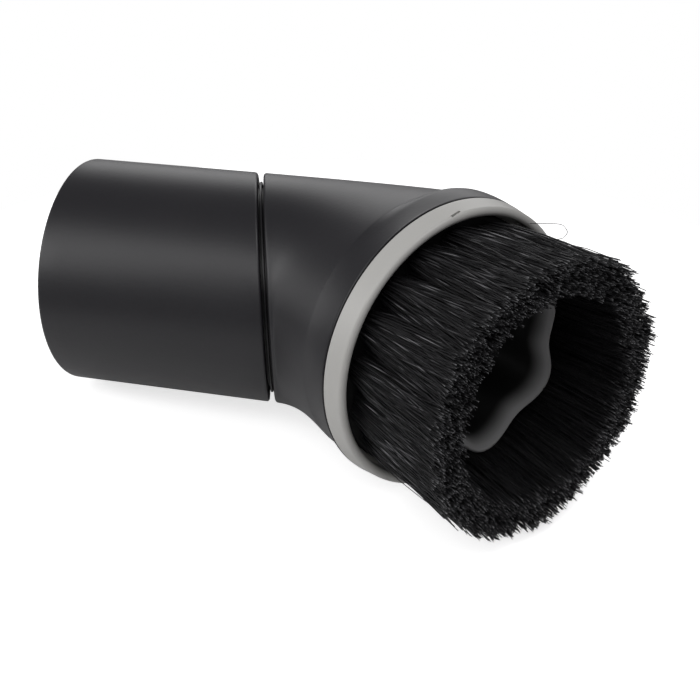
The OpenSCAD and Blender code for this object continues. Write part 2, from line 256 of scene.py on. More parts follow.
WALL, FIT, SEAT_D, COLLAR_R, COLLAR_HALF = 2.4, 0.08, -3.08, 19.05, 0.2
head_rings = [
    neck_ring(SLEEVE_R - EDGE + EDGE * math.sin(t), HALF_GAP + EDGE - EDGE * math.cos(t), a)
    for t in quarter[:-1]
]
outside = (SLEEVE_R, HALF_GAP + EDGE, back_r, -BAND_L)
head_rings += [elbow_ring(t, a, *outside) for t in np.linspace(0, 1, 44)]
head_rings += [band_ring(u, a) for u in np.linspace(0.04, 0.96, 18)]
seat = [
    (RIM_R, -0.18),
    (RIM_R - 0.05, -0.05),
    (RIM_R - 0.18, 0),
    (SEAT_R, 0),
    (SEAT_R, SEAT_D),
    (PLATE_R + FIT, SEAT_D),
    (PLATE_R + FIT, PLATE_BACK - FIT),
]
head_rings += [mouth_ring(r, d, a) for r, d in seat]
inside = (SLEEVE_R - WALL, HALF_GAP + WALL, PLATE_R - 2, PLATE_BACK - FIT)
head_rings += [elbow_ring(t, a, *inside) for t in np.linspace(1, 0, 14)]
spigot_end, bead_r = -HALF_GAP - SPIGOT_L, SPIGOT_R + BEAD_H
spigot = [
    (AIR_R - FIT, HALF_GAP + WALL),
    (AIR_R - FIT, spigot_end + 0.2),
    (AIR_R - FIT + 0.2, spigot_end),
    (bead_r - 0.3, spigot_end),
    (bead_r, spigot_end + 0.3),
    (bead_r, spigot_end + BEAD_W),
    (SPIGOT_R, spigot_end + BEAD_W),
    (SPIGOT_R, -COLLAR_HALF),
    (COLLAR_R - FIT, -COLLAR_HALF),
    (COLLAR_R, FIT - COLLAR_HALF),
    (COLLAR_R, COLLAR_HALF - FIT),
    (COLLAR_R - FIT, COLLAR_HALF),
    (SPIGOT_R, COLLAR_HALF),
    (SPIGOT_R, HALF_GAP),
]
head_rings += [joint_ring(r, off, a) for r, off in spigot]
head = ring_solid("head_shell", head_rings)

# %% [markdown]
# ## The trim ring
# The pale ring is a separate moulding whose skirt plugs into the head. Its front edge is fully rounded,
# and it stands a hair off the head, which draws the fine dark line behind it.
# A short slanted slot is let into its front edge, cut with a small block.

# %% Build the trim ring
ring_profile = [(22.42, -3, 0.1), (23.02, -3, 0.1), (23.02, 0.25, 0), (RIM_R, 0.25, 0.15)]
outer_line = [(RIM_R - 0.4 * (z - 0.25) / 2.95, z) for z in (1.0, 1.6, 2.0, 2.4, 2.8)]
ring_profile += [(r, z, 0) for r, z in outer_line]
lip = [(23.9 + 0.8 * math.cos(t), 3.2 + 0.8 * math.sin(t), 0) for t in np.linspace(0, math.pi, 19)]
ring_profile += lip + [(23.1, 1.05, 0), (22.42, 0.25, 0)]
ring_a = angles(360)
profile = soften(ring_profile)
ring = ring_solid("trim_ring_moulding", [mouth_ring(r, z, ring_a) for r, z in profile])


SLOT_R, SLOT_HALF_DEPTH = 24.5, 0.9


def slot_cutter(angle, height, length, width, tilt):
    """A small block that stands through the ring's outside, its long side tilted from the ring's edge."""
    out = math.cos(angle) * MOUTH_IN + math.sin(angle) * UP
    along = math.sin(angle) * MOUTH_IN - math.cos(angle) * UP
    lengthways = math.cos(tilt) * along + math.sin(tilt) * MOUTH
    across = -math.sin(tilt) * along + math.cos(tilt) * MOUTH
    centre = SEAM + height * MOUTH + SLOT_R * out
    verts = [
        centre + x * SLOT_HALF_DEPTH * out + y * length / 2 * lengthways + z * width / 2 * across
        for x in (-1, 1)
        for y in (-1, 1)
        for z in (-1, 1)
    ]
    faces = [(0, 1, 3, 2), (4, 6, 7, 5), (0, 4, 5, 1), (2, 3, 7, 6), (0, 2, 6, 4), (1, 5, 7, 3)]
    return make_piece("slot_cutter", verts, faces)


slot_block = slot_cutter(math.radians(88), height=3.25, length=2.2, width=0.4, tilt=math.radians(11))
cut_away(ring, slot_block)

# %% [markdown]
# ## The tuft carrier
# Inside the ring sits a black plate with two staggered rows of round holes for the tufts. A wavy guard collar
# stands up from it inside the bristles. The collar goes round in six even waves, so it is again
# rings of points, and the holes are cut afterwards with a Boolean, as a drill would.

# %% Build the carrier
GUARD_H, GUARD_T, GUARD_BASE, GUARD_RIM, WAVE, WAVES = 11.5, 0.9, 12.4, 13.9, 1.25, 6
ROWS = {"outer": (18.94, 0.0), "inner": (16.84, 10.0)}
TIP_OUT, TIP_IN, TIP_H = 23.6, 17.6, 24.9
carrier_a = angles(216)


def guard_ring(mean_r, z):
    """A wavy ring; the solid model counts its waves from the underside, a quarter turn away."""
    local = -math.pi / 2 - carrier_a
    return mouth_ring(mean_r + WAVE * np.cos(WAVES * local), z, carrier_a)


def flare(z):
    """Inside radius of the guard collar at the height z: straight, then opened out like a bell."""
    s = max(0.0, 1 - (GUARD_H - z) / 4)
    return GUARD_BASE + (GUARD_RIM - GUARD_BASE) * s * s


carrier_rings = [guard_ring(GUARD_BASE, z) for z in np.linspace(PLATE_BACK + 0.2, PLATE_TOP, 5)]
low_part = np.linspace(PLATE_TOP + 0.8, GUARD_H - 4, 6)
heights = np.append(low_part, np.linspace(GUARD_H - 3.6, GUARD_H - GUARD_T / 2, 9))
carrier_rings += [guard_ring(flare(z), z) for z in heights]
for t in np.linspace(0, math.pi, 9)[1:-1]:
    lip_r, lip_z = GUARD_RIM + GUARD_T / 2 * (1 - math.cos(t)), GUARD_H - GUARD_T / 2 * (1 - math.sin(t))
    carrier_rings.append(guard_ring(lip_r, lip_z))
carrier_rings += [guard_ring(flare(z) + GUARD_T, z) for z in heights[::-1]]
carrier_rings += [guard_ring(GUARD_BASE + GUARD_T, PLATE_TOP + 0.3)]
carrier_rings += [guard_ring(GUARD_BASE + GUARD_T + 0.25, PLATE_TOP)]
plate_edge = [
    (PLATE_R - 0.3, PLATE_TOP),
    (PLATE_R - 0.09, PLATE_TOP - 0.09),
    (PLATE_R, PLATE_TOP - 0.3),
    (PLATE_R, PLATE_BACK + 0.2),
    (PLATE_R - 0.2, PLATE_BACK),
]
carrier_rings += [mouth_ring(r, z, carrier_a) for r, z in plate_edge]
carrier_rings += [guard_ring(GUARD_BASE + 0.2, PLATE_BACK)]
carrier = ring_solid("carrier_plate", carrier_rings)


TUFTS, HOLE_R, HOLE_DEPTH = 18, 1.45, 4.6


def tip_radius(row):
    """The two rows share the ring of tips: each row's tips stand in the middle of its own half."""
    return (TIP_OUT * 3 + TIP_IN) / 4 if row == "outer" else (TIP_OUT + TIP_IN * 3) / 4


def tuft_frame(row, k):
    """The middle of a tuft's hole, its leaning axis, and the sideways direction there."""
    row_r, phase = ROWS[row]
    lean = math.atan((tip_radius(row) - row_r) / (TIP_H - PLATE_TOP))
    t = -math.pi / 2 - math.radians(phase + 360 / TUFTS * k)
    out = math.cos(t) * MOUTH_IN + math.sin(t) * UP
    side = -math.sin(t) * MOUTH_IN + math.cos(t) * UP
    return SEAM + row_r * out + PLATE_TOP * MOUTH, math.cos(lean) * MOUTH + math.sin(lean) * out, side


drill_verts, drill_faces, n = [], [], 20
for row in ROWS:
    for k in range(TUFTS):
        centre, axis, side = tuft_frame(row, k)
        across = np.cross(side, axis)
        start = len(drill_verts)
        for z in (-HOLE_DEPTH, 1.0):
            for t in angles(n):
                drill_verts.append(centre + z * axis + HOLE_R * (math.cos(t) * across + math.sin(t) * side))
        for i in range(n):
            after = (i + 1) % n
            drill_faces.append((start + i, start + after, start + n + after, start + n + i))
        drill_faces += [tuple(range(start, start + n)), tuple(range(start + n, start + 2 * n))]
drills = make_piece("tuft_hole_drills", drill_verts, drill_faces)
cut_away(carrier, drills)

# %% [markdown]
# ## The bristles
# Here each tuft is a bundle of four hundred nylon filaments. On a real brush they are folded over a wire
# and pulled into its hole.
# They start packed in a round hole and fan out until neighbouring tufts almost meet at the cut tips.
# Nobody places fourteen thousand filaments by hand: a Geometry Nodes tree spreads points over the holes,
# aims a slim curved filament from each root to its own tip, and repeats from a fixed seed.

# %% Node helpers
def new_node(tree, kind, values=None, **settings):
    """A node with its settings, and with values or links on its inputs."""
    made = tree.nodes.new(kind)
    for key, value in settings.items():
        setattr(made, key, value)
    for key, value in (values or {}).items():
        if isinstance(value, bpy.types.NodeSocket):
            tree.links.new(value, made.inputs[key])
        else:
            made.inputs[key].default_value = value
    return made


def calc(tree, operation, *values):
    """A Math node on numbers or sockets."""
    return new_node(tree, "ShaderNodeMath", dict(enumerate(values)), operation=operation).outputs[0]


def vector_calc(tree, operation, *values):
    """A Vector Math node on vectors or sockets."""
    return new_node(tree, "ShaderNodeVectorMath", dict(enumerate(values)), operation=operation).outputs[0]


def chance(tree, seed, extra, low=0.0, high=1.0, shared_by=None):
    """An even random number for each point, or one for all the points that share a number.

    Each use has its own extra number, so that its draws differ from the others'.
    """
    made = new_node(tree, "FunctionNodeRandomValue", data_type="FLOAT")
    made.inputs[2].default_value, made.inputs[3].default_value = low, high
    tree.links.new(calc(tree, "ADD", seed, extra), made.inputs["Seed"])
    if shared_by is not None:
        tree.links.new(shared_by, made.inputs["ID"])
    return made.outputs[1]


# %% One filament, in a few shapes
BENDS = ((0.01, 0.01), (0.035, -0.02), (0.05, 0.03), (-0.03, 0.07), (0.1, 0.04))


def filament_shapes(tree, thickness):
    """Slim tubes of unit length that bend in different ways, as separate instances."""
    shapes = new_node(tree, "GeometryNodeJoinGeometry")
    for low, high in BENDS:
        line = new_node(
            tree,
            "GeometryNodeCurvePrimitiveBezierSegment",
            {
                "Resolution": 5,
                "Start": (0, 0, 0),
                "Start Handle": (low, 0, 0.33),
                "End Handle": (high, 0, 0.67),
                "End": (0, 0, 1),
            },
        )
        factor = new_node(tree, "GeometryNodeSplineParameter").outputs["Factor"]
        marked = new_node(
            tree,
            "GeometryNodeStoreNamedAttribute",
            {"Geometry": line.outputs[0], "Name": "along", "Value": factor},
            data_type="FLOAT",
            domain="POINT",
        )
        section = new_node(tree, "GeometryNodeCurvePrimitiveCircle", {"Resolution": 3, "Radius": thickness})
        tube = new_node(
            tree,
            "GeometryNodeCurveToMesh",
            {"Curve": marked.outputs[0], "Profile Curve": section.outputs[0], "Fill Caps": True},
        )
        one = new_node(tree, "GeometryNodeGeometryToInstance", {"Geometry": tube.outputs[0]})
        tree.links.new(one.outputs[0], shapes.inputs[0])
    return shapes.outputs[0]


# %% The tree that grows a row of tufts
def tuft_tree():
    """Points round the mouth's axis, which is +Z here; each gets a filament from its root to its tip."""
    tree = bpy.data.node_groups.new("Tuft row", "GeometryNodeTree")
    face = tree.interface
    face.new_socket("Geometry", in_out="INPUT", socket_type="NodeSocketGeometry")
    for name in ("Tufts", "Filaments", "Seed"):
        face.new_socket(name, in_out="INPUT", socket_type="NodeSocketInt")
    for name in ("Row radius", "Start angle", "Hole radius", "Root height", "Tip radius", "Tip height"):
        face.new_socket(name, in_out="INPUT", socket_type="NodeSocketFloat")
    for name in ("Tip half depth", "Share of room", "Raggedness", "Clinging", "Thickness"):
        face.new_socket(name, in_out="INPUT", socket_type="NodeSocketFloat")
    face.new_socket("Material", in_out="INPUT", socket_type="NodeSocketMaterial")
    face.new_socket("Geometry", in_out="OUTPUT", socket_type="NodeSocketGeometry")
    given = new_node(tree, "NodeGroupInput").outputs
    seed = given["Seed"]

    count = calc(tree, "MULTIPLY", given["Tufts"], given["Filaments"])
    points = new_node(tree, "GeometryNodePoints", {"Count": count})
    index = new_node(tree, "GeometryNodeInputIndex").outputs[0]
    tuft = calc(tree, "FLOOR", calc(tree, "DIVIDE", calc(tree, "ADD", index, 0.5), given["Filaments"]))
    step = calc(tree, "DIVIDE", 2 * math.pi, given["Tufts"])
    turn = calc(tree, "ADD", given["Start angle"], calc(tree, "MULTIPLY", tuft, step))

    # A place in the round hole: the square root spreads the points evenly over the disc
    rho = calc(tree, "SQRT", chance(tree, seed, 1))
    theta = chance(tree, seed, 2, 0, 2 * math.pi)
    x, y = calc(tree, "COSINE", theta), calc(tree, "SINE", theta)
    root_out = calc(tree, "MULTIPLY", calc(tree, "MULTIPLY", rho, x), given["Hole radius"])
    root_side = calc(tree, "MULTIPLY", calc(tree, "MULTIPLY", rho, y), given["Hole radius"])

    # The same place stretched to the tuft's squarish share of the ring of tips
    longest = calc(tree, "MAXIMUM", calc(tree, "ABSOLUTE", x), calc(tree, "ABSOLUTE", y))
    stretch = calc(tree, "DIVIDE", rho, longest)
    square = calc(tree, "ADD", calc(tree, "MULTIPLY", stretch, 0.75), calc(tree, "MULTIPLY", rho, 0.25))
    tip_out = calc(tree, "MULTIPLY", calc(tree, "MULTIPLY", square, x), given["Tip half depth"])
    tip_out = calc(tree, "ADD", tip_out, chance(tree, seed, 3, -0.0006, 0.0006))
    tip_out = calc(tree, "ADD", tip_out, chance(tree, seed, 10, -0.0004, 0.0004, tuft))
    half_room = calc(tree, "MULTIPLY", calc(tree, "MULTIPLY", step, 0.5), given["Share of room"])
    tip_turn = calc(tree, "MULTIPLY", calc(tree, "MULTIPLY", square, y), half_room)
    tip_turn = calc(tree, "ADD", tip_turn, chance(tree, seed, 4, -0.045, 0.045))
    tip_turn = calc(tree, "ADD", tip_turn, chance(tree, seed, 11, -0.05, 0.05, tuft))

    def polar(radius, angle, side, z):
        c, s = calc(tree, "COSINE", angle), calc(tree, "SINE", angle)
        px = calc(tree, "SUBTRACT", calc(tree, "MULTIPLY", radius, c), calc(tree, "MULTIPLY", side, s))
        py = calc(tree, "ADD", calc(tree, "MULTIPLY", radius, s), calc(tree, "MULTIPLY", side, c))
        return new_node(tree, "ShaderNodeCombineXYZ", {0: px, 1: py, 2: z}).outputs[0]

    root = polar(calc(tree, "ADD", given["Row radius"], root_out), turn, root_side, given["Root height"])
    cut = calc(tree, "MULTIPLY", calc(tree, "POWER", chance(tree, seed, 5), 2.0), given["Raggedness"])
    tip_z = calc(tree, "SUBTRACT", given["Tip height"], cut)
    tip_r, tip_angle = calc(tree, "ADD", given["Tip radius"], tip_out), calc(tree, "ADD", turn, tip_turn)
    tip = polar(tip_r, tip_angle, 0.0, tip_z)

    # Filaments cling in small locks: each tip is drawn towards its lock's middle, and some locks are shorter
    locks = new_node(tree, "ShaderNodeTexVoronoi", {"Vector": tip, "Scale": 1000.0}, voronoi_dimensions="3D")
    pull = calc(tree, "MULTIPLY", chance(tree, seed, 9), given["Clinging"])
    towards = {0: pull, 4: tip, 5: locks.outputs["Position"]}
    pulled = new_node(tree, "ShaderNodeMix", towards, data_type="VECTOR")
    lock_chance = new_node(tree, "ShaderNodeSeparateXYZ", {0: locks.outputs["Color"]}).outputs[0]
    most = calc(tree, "MULTIPLY", given["Raggedness"], -0.55)
    short = calc(tree, "MULTIPLY", calc(tree, "POWER", lock_chance, 2.0), most)
    drop = new_node(tree, "ShaderNodeCombineXYZ", {2: short}).outputs[0]
    tip = vector_calc(tree, "ADD", pulled.outputs[1], drop)

    placed = new_node(tree, "GeometryNodeSetPosition", {"Geometry": points.outputs[0], "Position": root})
    shaded = placed
    for attribute, draw in (("shade", 6), ("glint", 12)):
        shaded = new_node(
            tree,
            "GeometryNodeStoreNamedAttribute",
            {"Geometry": shaded.outputs[0], "Name": attribute, "Value": chance(tree, seed, draw)},
            data_type="FLOAT",
            domain="POINT",
        )
    reach = vector_calc(tree, "SUBTRACT", tip, root)
    aim = new_node(tree, "FunctionNodeAlignRotationToVector", {"Vector": reach}, axis="Z")
    spin = new_node(
        tree,
        "FunctionNodeAxisAngleToRotation",
        {"Axis": (0, 0, 1), "Angle": chance(tree, seed, 7, 0, 6.283)},
    )
    turned = new_node(
        tree,
        "FunctionNodeRotateRotation",
        {"Rotation": aim.outputs[0], "Rotate By": spin.outputs[0]},
        rotation_space="LOCAL",
    )
    length = new_node(tree, "ShaderNodeVectorMath", {0: reach}, operation="LENGTH").outputs["Value"]
    unit_thickness = calc(tree, "DIVIDE", given["Thickness"], given["Tip height"])
    straighter_first = calc(tree, "POWER", chance(tree, seed, 8), 1.8)
    pick = calc(tree, "FLOOR", calc(tree, "MULTIPLY", straighter_first, len(BENDS) - 0.001))
    grown = new_node(
        tree,
        "GeometryNodeInstanceOnPoints",
        {
            "Points": shaded.outputs[0],
            "Instance": filament_shapes(tree, unit_thickness),
            "Pick Instance": True,
            "Instance Index": pick,
            "Rotation": turned.outputs[0],
            "Scale": length,
        },
    )
    real = new_node(tree, "GeometryNodeRealizeInstances", {"Geometry": grown.outputs[0]})
    dressed = new_node(
        tree,
        "GeometryNodeSetMaterial",
        {"Geometry": real.outputs[0], "Material": given["Material"]},
    )
    out = new_node(tree, "NodeGroupOutput")
    tree.links.new(dressed.outputs[0], out.inputs[0])
    return tree


# %% [markdown]
# ## Plastic finishes
# The black mouldings have a fine spark-eroded grain: a satin surface, never quite even in colour or gloss.
# The pale ring has the same grain, only finer. So the grain is one shader group with named inputs,
# built once, and each plastic places it with its own colours and strength.
# The guard collar's lip is painted paler than the rest of the carrier. The real collar is surely one black
# plastic, whose lip catches the light from the mouth, so this tone is right for the photo's light only.

# %% The grain group
def grain_group():
    tree = bpy.data.node_groups.new("Moulded grain", "ShaderNodeTree")
    face = tree.interface
    face.new_socket("Colour", in_out="INPUT", socket_type="NodeSocketColor")
    face.new_socket("Worn colour", in_out="INPUT", socket_type="NodeSocketColor")
    for name in ("Roughness", "Unevenness", "Grain size", "Grain depth"):
        face.new_socket(name, in_out="INPUT", socket_type="NodeSocketFloat")
    face.new_socket("Colour", in_out="OUTPUT", socket_type="NodeSocketColor")
    face.new_socket("Roughness", in_out="OUTPUT", socket_type="NodeSocketFloat")
    face.new_socket("Normal", in_out="OUTPUT", socket_type="NodeSocketVector")
    given = new_node(tree, "NodeGroupInput").outputs
    place = new_node(tree, "ShaderNodeTexCoord").outputs["Object"]
    coarse = {"Vector": place, "Scale": 38.0, "Detail": 4.0, "Roughness": 0.6}
    clouds = new_node(tree, "ShaderNodeTexNoise", coarse)
    fine = calc(tree, "DIVIDE", 1.0, given["Grain size"])
    small = {"Vector": place, "Scale": fine, "Detail": 2.0, "Roughness": 0.55}
    grain = new_node(tree, "ShaderNodeTexNoise", small)
    mottle = calc(tree, "MULTIPLY", clouds.outputs[0], grain.outputs[0])
    mix = new_node(
        tree,
        "ShaderNodeMix",
        {0: mottle, 6: given["Colour"], 7: given["Worn colour"]},
        data_type="RGBA",
    )
    offset = calc(tree, "MULTIPLY", calc(tree, "SUBTRACT", clouds.outputs[0], 0.5), given["Unevenness"])
    rough = calc(tree, "ADD", given["Roughness"], offset)
    relief = {"Height": grain.outputs[0], "Distance": given["Grain depth"], "Strength": 1.0}
    bump = new_node(tree, "ShaderNodeBump", relief)
    out = new_node(tree, "NodeGroupOutput")
    tree.links.new(mix.outputs[2], out.inputs["Colour"])
    tree.links.new(rough, out.inputs["Roughness"])
    tree.links.new(bump.outputs[0], out.inputs["Normal"])
    return tree


GRAIN = grain_group()
print("the grain group has", len(GRAIN.nodes), "nodes")


# %% Plastics
def plastic(name, colour, worn, roughness, uneven=0.1, grain_size=0.0006, grain_depth=0.00002, specular=0.5):
    """A material with the moulded grain; grain sizes are in metres."""
    mat = bpy.data.materials.new(name)
    mat.use_nodes = True
    tree = mat.node_tree
    shader = tree.nodes["Principled BSDF"]
    values = {
        "Colour": (*colour, 1),
        "Worn colour": (*worn, 1),
        "Roughness": roughness,
        "Unevenness": uneven,
        "Grain size": grain_size,
        "Grain depth": grain_depth,
    }
    grain = new_node(tree, "ShaderNodeGroup", node_tree=GRAIN)
    for key, value in values.items():
        grain.inputs[key].default_value = value
    tree.links.new(grain.outputs["Colour"], shader.inputs["Base Color"])
    tree.links.new(grain.outputs["Roughness"], shader.inputs["Roughness"])
    tree.links.new(grain.outputs["Normal"], shader.inputs["Normal"])
    shader.inputs["Specular IOR Level"].default_value = specular
    return mat


def paint_lip_light(material, colour):
    """Paints light on the guard collar: fades its colour to a paler one over the last few millimetres below
    its lip, as a painted highlight.
    """
    tree = material.node_tree
    base = tree.nodes["Principled BSDF"].inputs["Base Color"]
    plain_colour = base.links[0].from_socket
    place = new_node(tree, "ShaderNodeTexCoord").outputs["Object"]
    level = new_node(tree, "ShaderNodeVectorMath", {0: place, 1: tuple(MOUTH)}, operation="DOT_PRODUCT")
    lip = (float(SEAM @ MOUTH) + GUARD_H) * MM
    span = {0: level.outputs["Value"], 1: lip - 3.6 * MM, 2: lip + 0.3 * MM}
    fade = new_node(tree, "ShaderNodeMapRange", span, interpolation_type="SMOOTHSTEP").outputs[0]
    mix = new_node(tree, "ShaderNodeMix", {0: fade, 6: plain_colour, 7: (*colour, 1)}, data_type="RGBA")
    tree.links.new(mix.outputs[2], base)


BLACK, WORN_BLACK = (0.0112, 0.0108, 0.013), (0.0182, 0.0176, 0.0206)
GREY, WORN_GREY = (0.46, 0.455, 0.435), (0.5, 0.495, 0.475)
DEEP_BLACK = (0.011, 0.011, 0.011)
black = plastic("Satin black plastic", BLACK, WORN_BLACK, 0.40, grain_depth=0.000012)
grey = plastic("Warm grey plastic", GREY, WORN_GREY, 0.42, 0.06, 0.0004, 0.000008)
dark = plastic("Black carrier plastic", DEEP_BLACK, DEEP_BLACK, 0.6, grain_depth=0.00001, specular=0.2)
# The guard collar's lip gets a painted highlight; the collar itself is one black plastic.
paint_lip_light(dark, (0.3, 0.3, 0.3))
wire = plastic("Brass anchor wire", (0.62, 0.5, 0.28), (0.5, 0.4, 0.22), 0.35, 0.1, 0.0003, 0.000004)
wire.node_tree.nodes["Principled BSDF"].inputs["Metallic"].default_value = 1.0
print("plastics and wire are ready")

# %% [markdown]
# ## The bristle finish
# Nylon filaments are black through and through, and glossy along their length. What the eye sees is
# a few of them catching the light, and pale specks where light catches the knife-cut tips. A true highlight
# on a hair is too small at this size to render cleanly, so the glints are painted: each filament carries its
# own random number and each point its place along it, and the material turns these into painted highlights:
# short pale dashes, and pale specks at some tips. Painted glints stay where they are when the lamps move. The
# real rows are surely one nylon. Here the inner row has a finish with fainter glints, painted shade, as the
# photo shows the inside of the brush dark and even.

# %% Bristle material
# The first colour is the nylon's own black; the second is the painted highlight on some cut tips.
NYLON, TIP_GLINT = (0.0135, 0.0133, 0.0145), (0.3, 0.3, 0.31)


def bristle_material(name, glint_tone):
    """Black nylon with painted glints as pale as the given tone: painted highlights as dashes along it, and
    specks at some tips.
    """
    mat = bpy.data.materials.new(name)
    mat.use_nodes = True
    tree = mat.node_tree
    shader = tree.nodes["Principled BSDF"]
    shade = new_node(tree, "ShaderNodeAttribute", attribute_name="shade").outputs["Fac"]
    along = new_node(tree, "ShaderNodeAttribute", attribute_name="along").outputs["Fac"]
    glint = new_node(tree, "ShaderNodeAttribute", attribute_name="glint").outputs["Fac"]
    # Painted highlights: short pale dashes along each filament, faded out near the roots and the tips.
    phase = calc(tree, "FRACT", calc(tree, "MULTIPLY_ADD", along, 1.7, calc(tree, "MULTIPLY", glint, 9.0)))
    reach = calc(tree, "MULTIPLY_ADD", calc(tree, "FRACT", calc(tree, "MULTIPLY", glint, 7.3)), 0.14, 0.07)
    off = calc(tree, "DIVIDE", calc(tree, "SUBTRACT", phase, 0.5), reach)
    dash = calc(tree, "MAXIMUM", 0.0, calc(tree, "SUBTRACT", 1.0, calc(tree, "MULTIPLY", off, off)))
    fade = new_node(tree, "ShaderNodeMapRange", {0: along, 1: 0.2, 2: 0.42}).outputs[0]
    far = new_node(tree, "ShaderNodeMapRange", {0: along, 1: 0.97, 2: 0.8}).outputs[0]
    middle = calc(tree, "MULTIPLY", dash, calc(tree, "MULTIPLY", fade, far))
    bright = calc(tree, "MULTIPLY", calc(tree, "POWER", shade, 2.5), middle)
    pale = (glint_tone, glint_tone * 0.99, glint_tone * 1.04, 1)
    body = new_node(tree, "ShaderNodeMix", {0: bright, 6: (*NYLON, 1), 7: pale}, data_type="RGBA")
    # Painted highlight at the cut ends of some filaments.
    at_tip = calc(tree, "MULTIPLY", calc(tree, "POWER", along, 60.0), calc(tree, "POWER", shade, 3.0))
    ends = {0: at_tip, 6: body.outputs[2], 7: (*TIP_GLINT, 1)}
    colour = new_node(tree, "ShaderNodeMix", ends, data_type="RGBA")
    rough = calc(tree, "ADD", 0.38, calc(tree, "MULTIPLY", shade, 0.2))
    tree.links.new(colour.outputs[2], shader.inputs["Base Color"])
    tree.links.new(rough, shader.inputs["Roughness"])
    shader.inputs["Specular IOR Level"].default_value = 0.35
    return mat


nylon = bristle_material("Black nylon bristle", 0.26)
# Painted shade: this copy of the nylon has much fainter painted glints, for the dark inside of the brush.
faint_glint_nylon = bristle_material("Black nylon bristle, faint painted glints", 0.03)
print("two bristle finishes are ready")

# %% [markdown]
# ## Growing the two rows
# The tree works in the mouth's own frame. Its result is taken as a plain mesh, turned into place,
# and the modifier goes away, so that the piece is an ordinary mesh when it is hung on the head.

# %% Grow the rows
TREE = tuft_tree()
to_mouth = Matrix(
    (
        (MOUTH_IN[0], UP[0], MOUTH[0], SEAM[0] * MM),
        (MOUTH_IN[1], UP[1], MOUTH[1], SEAM[1] * MM),
        (MOUTH_IN[2], UP[2], MOUTH[2], SEAM[2] * MM),
        (0, 0, 0, 1),
    )
)
FILAMENTS = 400


def grow_row(name, row, seed, finish):
    row_r, phase = ROWS[row]
    wanted = {
        "Tufts": TUFTS,
        "Filaments": FILAMENTS,
        "Seed": seed,
        "Row radius": row_r * MM,
        "Start angle": -math.pi / 2 - math.radians(phase),
        "Hole radius": 1.36 * MM,
        "Root height": -3.0 * MM,
        "Tip radius": tip_radius(row) * MM,
        "Tip height": TIP_H * MM,
        "Tip half depth": 1.5 * MM,
        "Share of room": 0.98,
        "Raggedness": 1.9 * MM,
        "Clinging": 0.1,
        "Thickness": 0.07 * MM,
        "Material": finish,
    }
    holder = bpy.data.objects.new(name, bpy.data.meshes.new(name))
    bpy.context.scene.collection.objects.link(holder)
    grow = holder.modifiers.new("Tuft row", "NODES")
    grow.node_group = TREE
    for item in TREE.interface.items_tree:
        if item.in_out == "INPUT" and item.name in wanted:
            grow[item.identifier] = wanted[item.name]
    holder.update_tag()
    evaluated = holder.evaluated_get(bpy.context.evaluated_depsgraph_get())
    mesh = bpy.data.meshes.new_from_object(evaluated)
    holder.modifiers.remove(grow)
    mesh.transform(to_mouth)
    if to_mouth.determinant() < 0:
        mesh.flip_normals()
    holder.data = mesh
    mesh.polygons.foreach_set("use_smooth", [True] * len(mesh.polygons))
    triangles = sum(len(p.vertices) - 2 for p in mesh.polygons)
    print(name, "has", triangles, "triangles")
    return holder


outer_bristles = grow_row("outer_row_bristles", "outer", 11, nylon)
inner_bristles = grow_row("inner_row_bristles", "inner", 47, faint_glint_nylon)

# %% [markdown]
# ## A stray hair
# In the photo one loose hair or filament has sprung out over the ring's upper edge and curls back in a loop.
# It is a thin tube round a smooth line through eight points, and it turns with the head.

# %% Add the stray hair
HAIR = [(82.8, -9.2), (84.8, -9.1), (87.3, -9.0), (88.3, -10.2)]
HAIR += [(88.9, -12.3), (88.5, -14.6), (87.4, -15.5), (86.3, -15.0)]
HAIR_Z, HAIR_RISE, HAIR_R = 21.6, 0.12, 0.06


def stray_hair(name, knots, radius):
    """A thin four-sided tube along a smooth curve through (x, y) points that rise a little one by one."""
    line = [np.array([x, y, HAIR_Z + HAIR_RISE * k]) for k, (x, y) in enumerate(knots)]
    path = []
    for k in range(len(line) - 1):
        p0, p1, p2, p3 = (line[min(max(k + j, 0), len(line) - 1)] for j in (-1, 0, 1, 2))
        for t in np.arange(0, 1, 0.2):
            squared = (2 * p0 - 5 * p1 + 4 * p2 - p3) * t**2
            cubed = (3 * p1 - p0 - 3 * p2 + p3) * t**3
            path.append(0.5 * (2 * p1 + (p2 - p0) * t + squared + cubed))
    path.append(line[-1])
    path = np.array(path)
    ahead = np.gradient(path, axis=0)
    side = np.cross(ahead, UP)
    side /= np.linalg.norm(side, axis=1)[:, None]
    verts = np.concatenate([path + radius * way for way in (side, UP, -side, -UP)])
    n = len(path)
    faces = []
    for c in range(4):
        here, there = c * n, (c + 1) % 4 * n
        faces += [(here + i, here + i + 1, there + i + 1, there + i) for i in range(n - 1)]
    faces += [tuple(c * n for c in range(4)), tuple(c * n + n - 1 for c in range(4))]
    return make_piece(name, verts, faces, sharp=180)


hair = stray_hair("stray_hair", HAIR, HAIR_R)

# %% [markdown]
# ## Hanging the pieces on their bodies
# Each dressed piece takes its finish, then rides on the body that moves it, and stands for its solids.

# %% Dress and hang
def dress(piece, material, body, slot, *nodes):
    if material is not None:
        piece.data.materials.clear()
        piece.data.materials.append(material)
    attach(piece, body)
    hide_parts(*nodes)


dress(sleeve, black, "sleeve", "black_shell", "connector_sleeve")
dress(head, black, "head", "black_shell", "head_housing")
dress(ring, grey, "head", "grey_ring", "trim_ring")
dress(carrier, dark, "head", "black_carrier", "tuft_carrier")
dress(outer_bristles, None, "head", "bristle", *[f"tuft_outer_{k:02d}" for k in range(1, TUFTS + 1)])
dress(inner_bristles, None, "head", "bristle", *[f"tuft_inner_{k:02d}" for k in range(1, TUFTS + 1)])
dress(hair, faint_glint_nylon, "head", "bristle")
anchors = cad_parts["tuft_anchors"]
anchors.data.materials.clear()
anchors.data.materials.append(wire)
print("all pieces hang on their bodies")

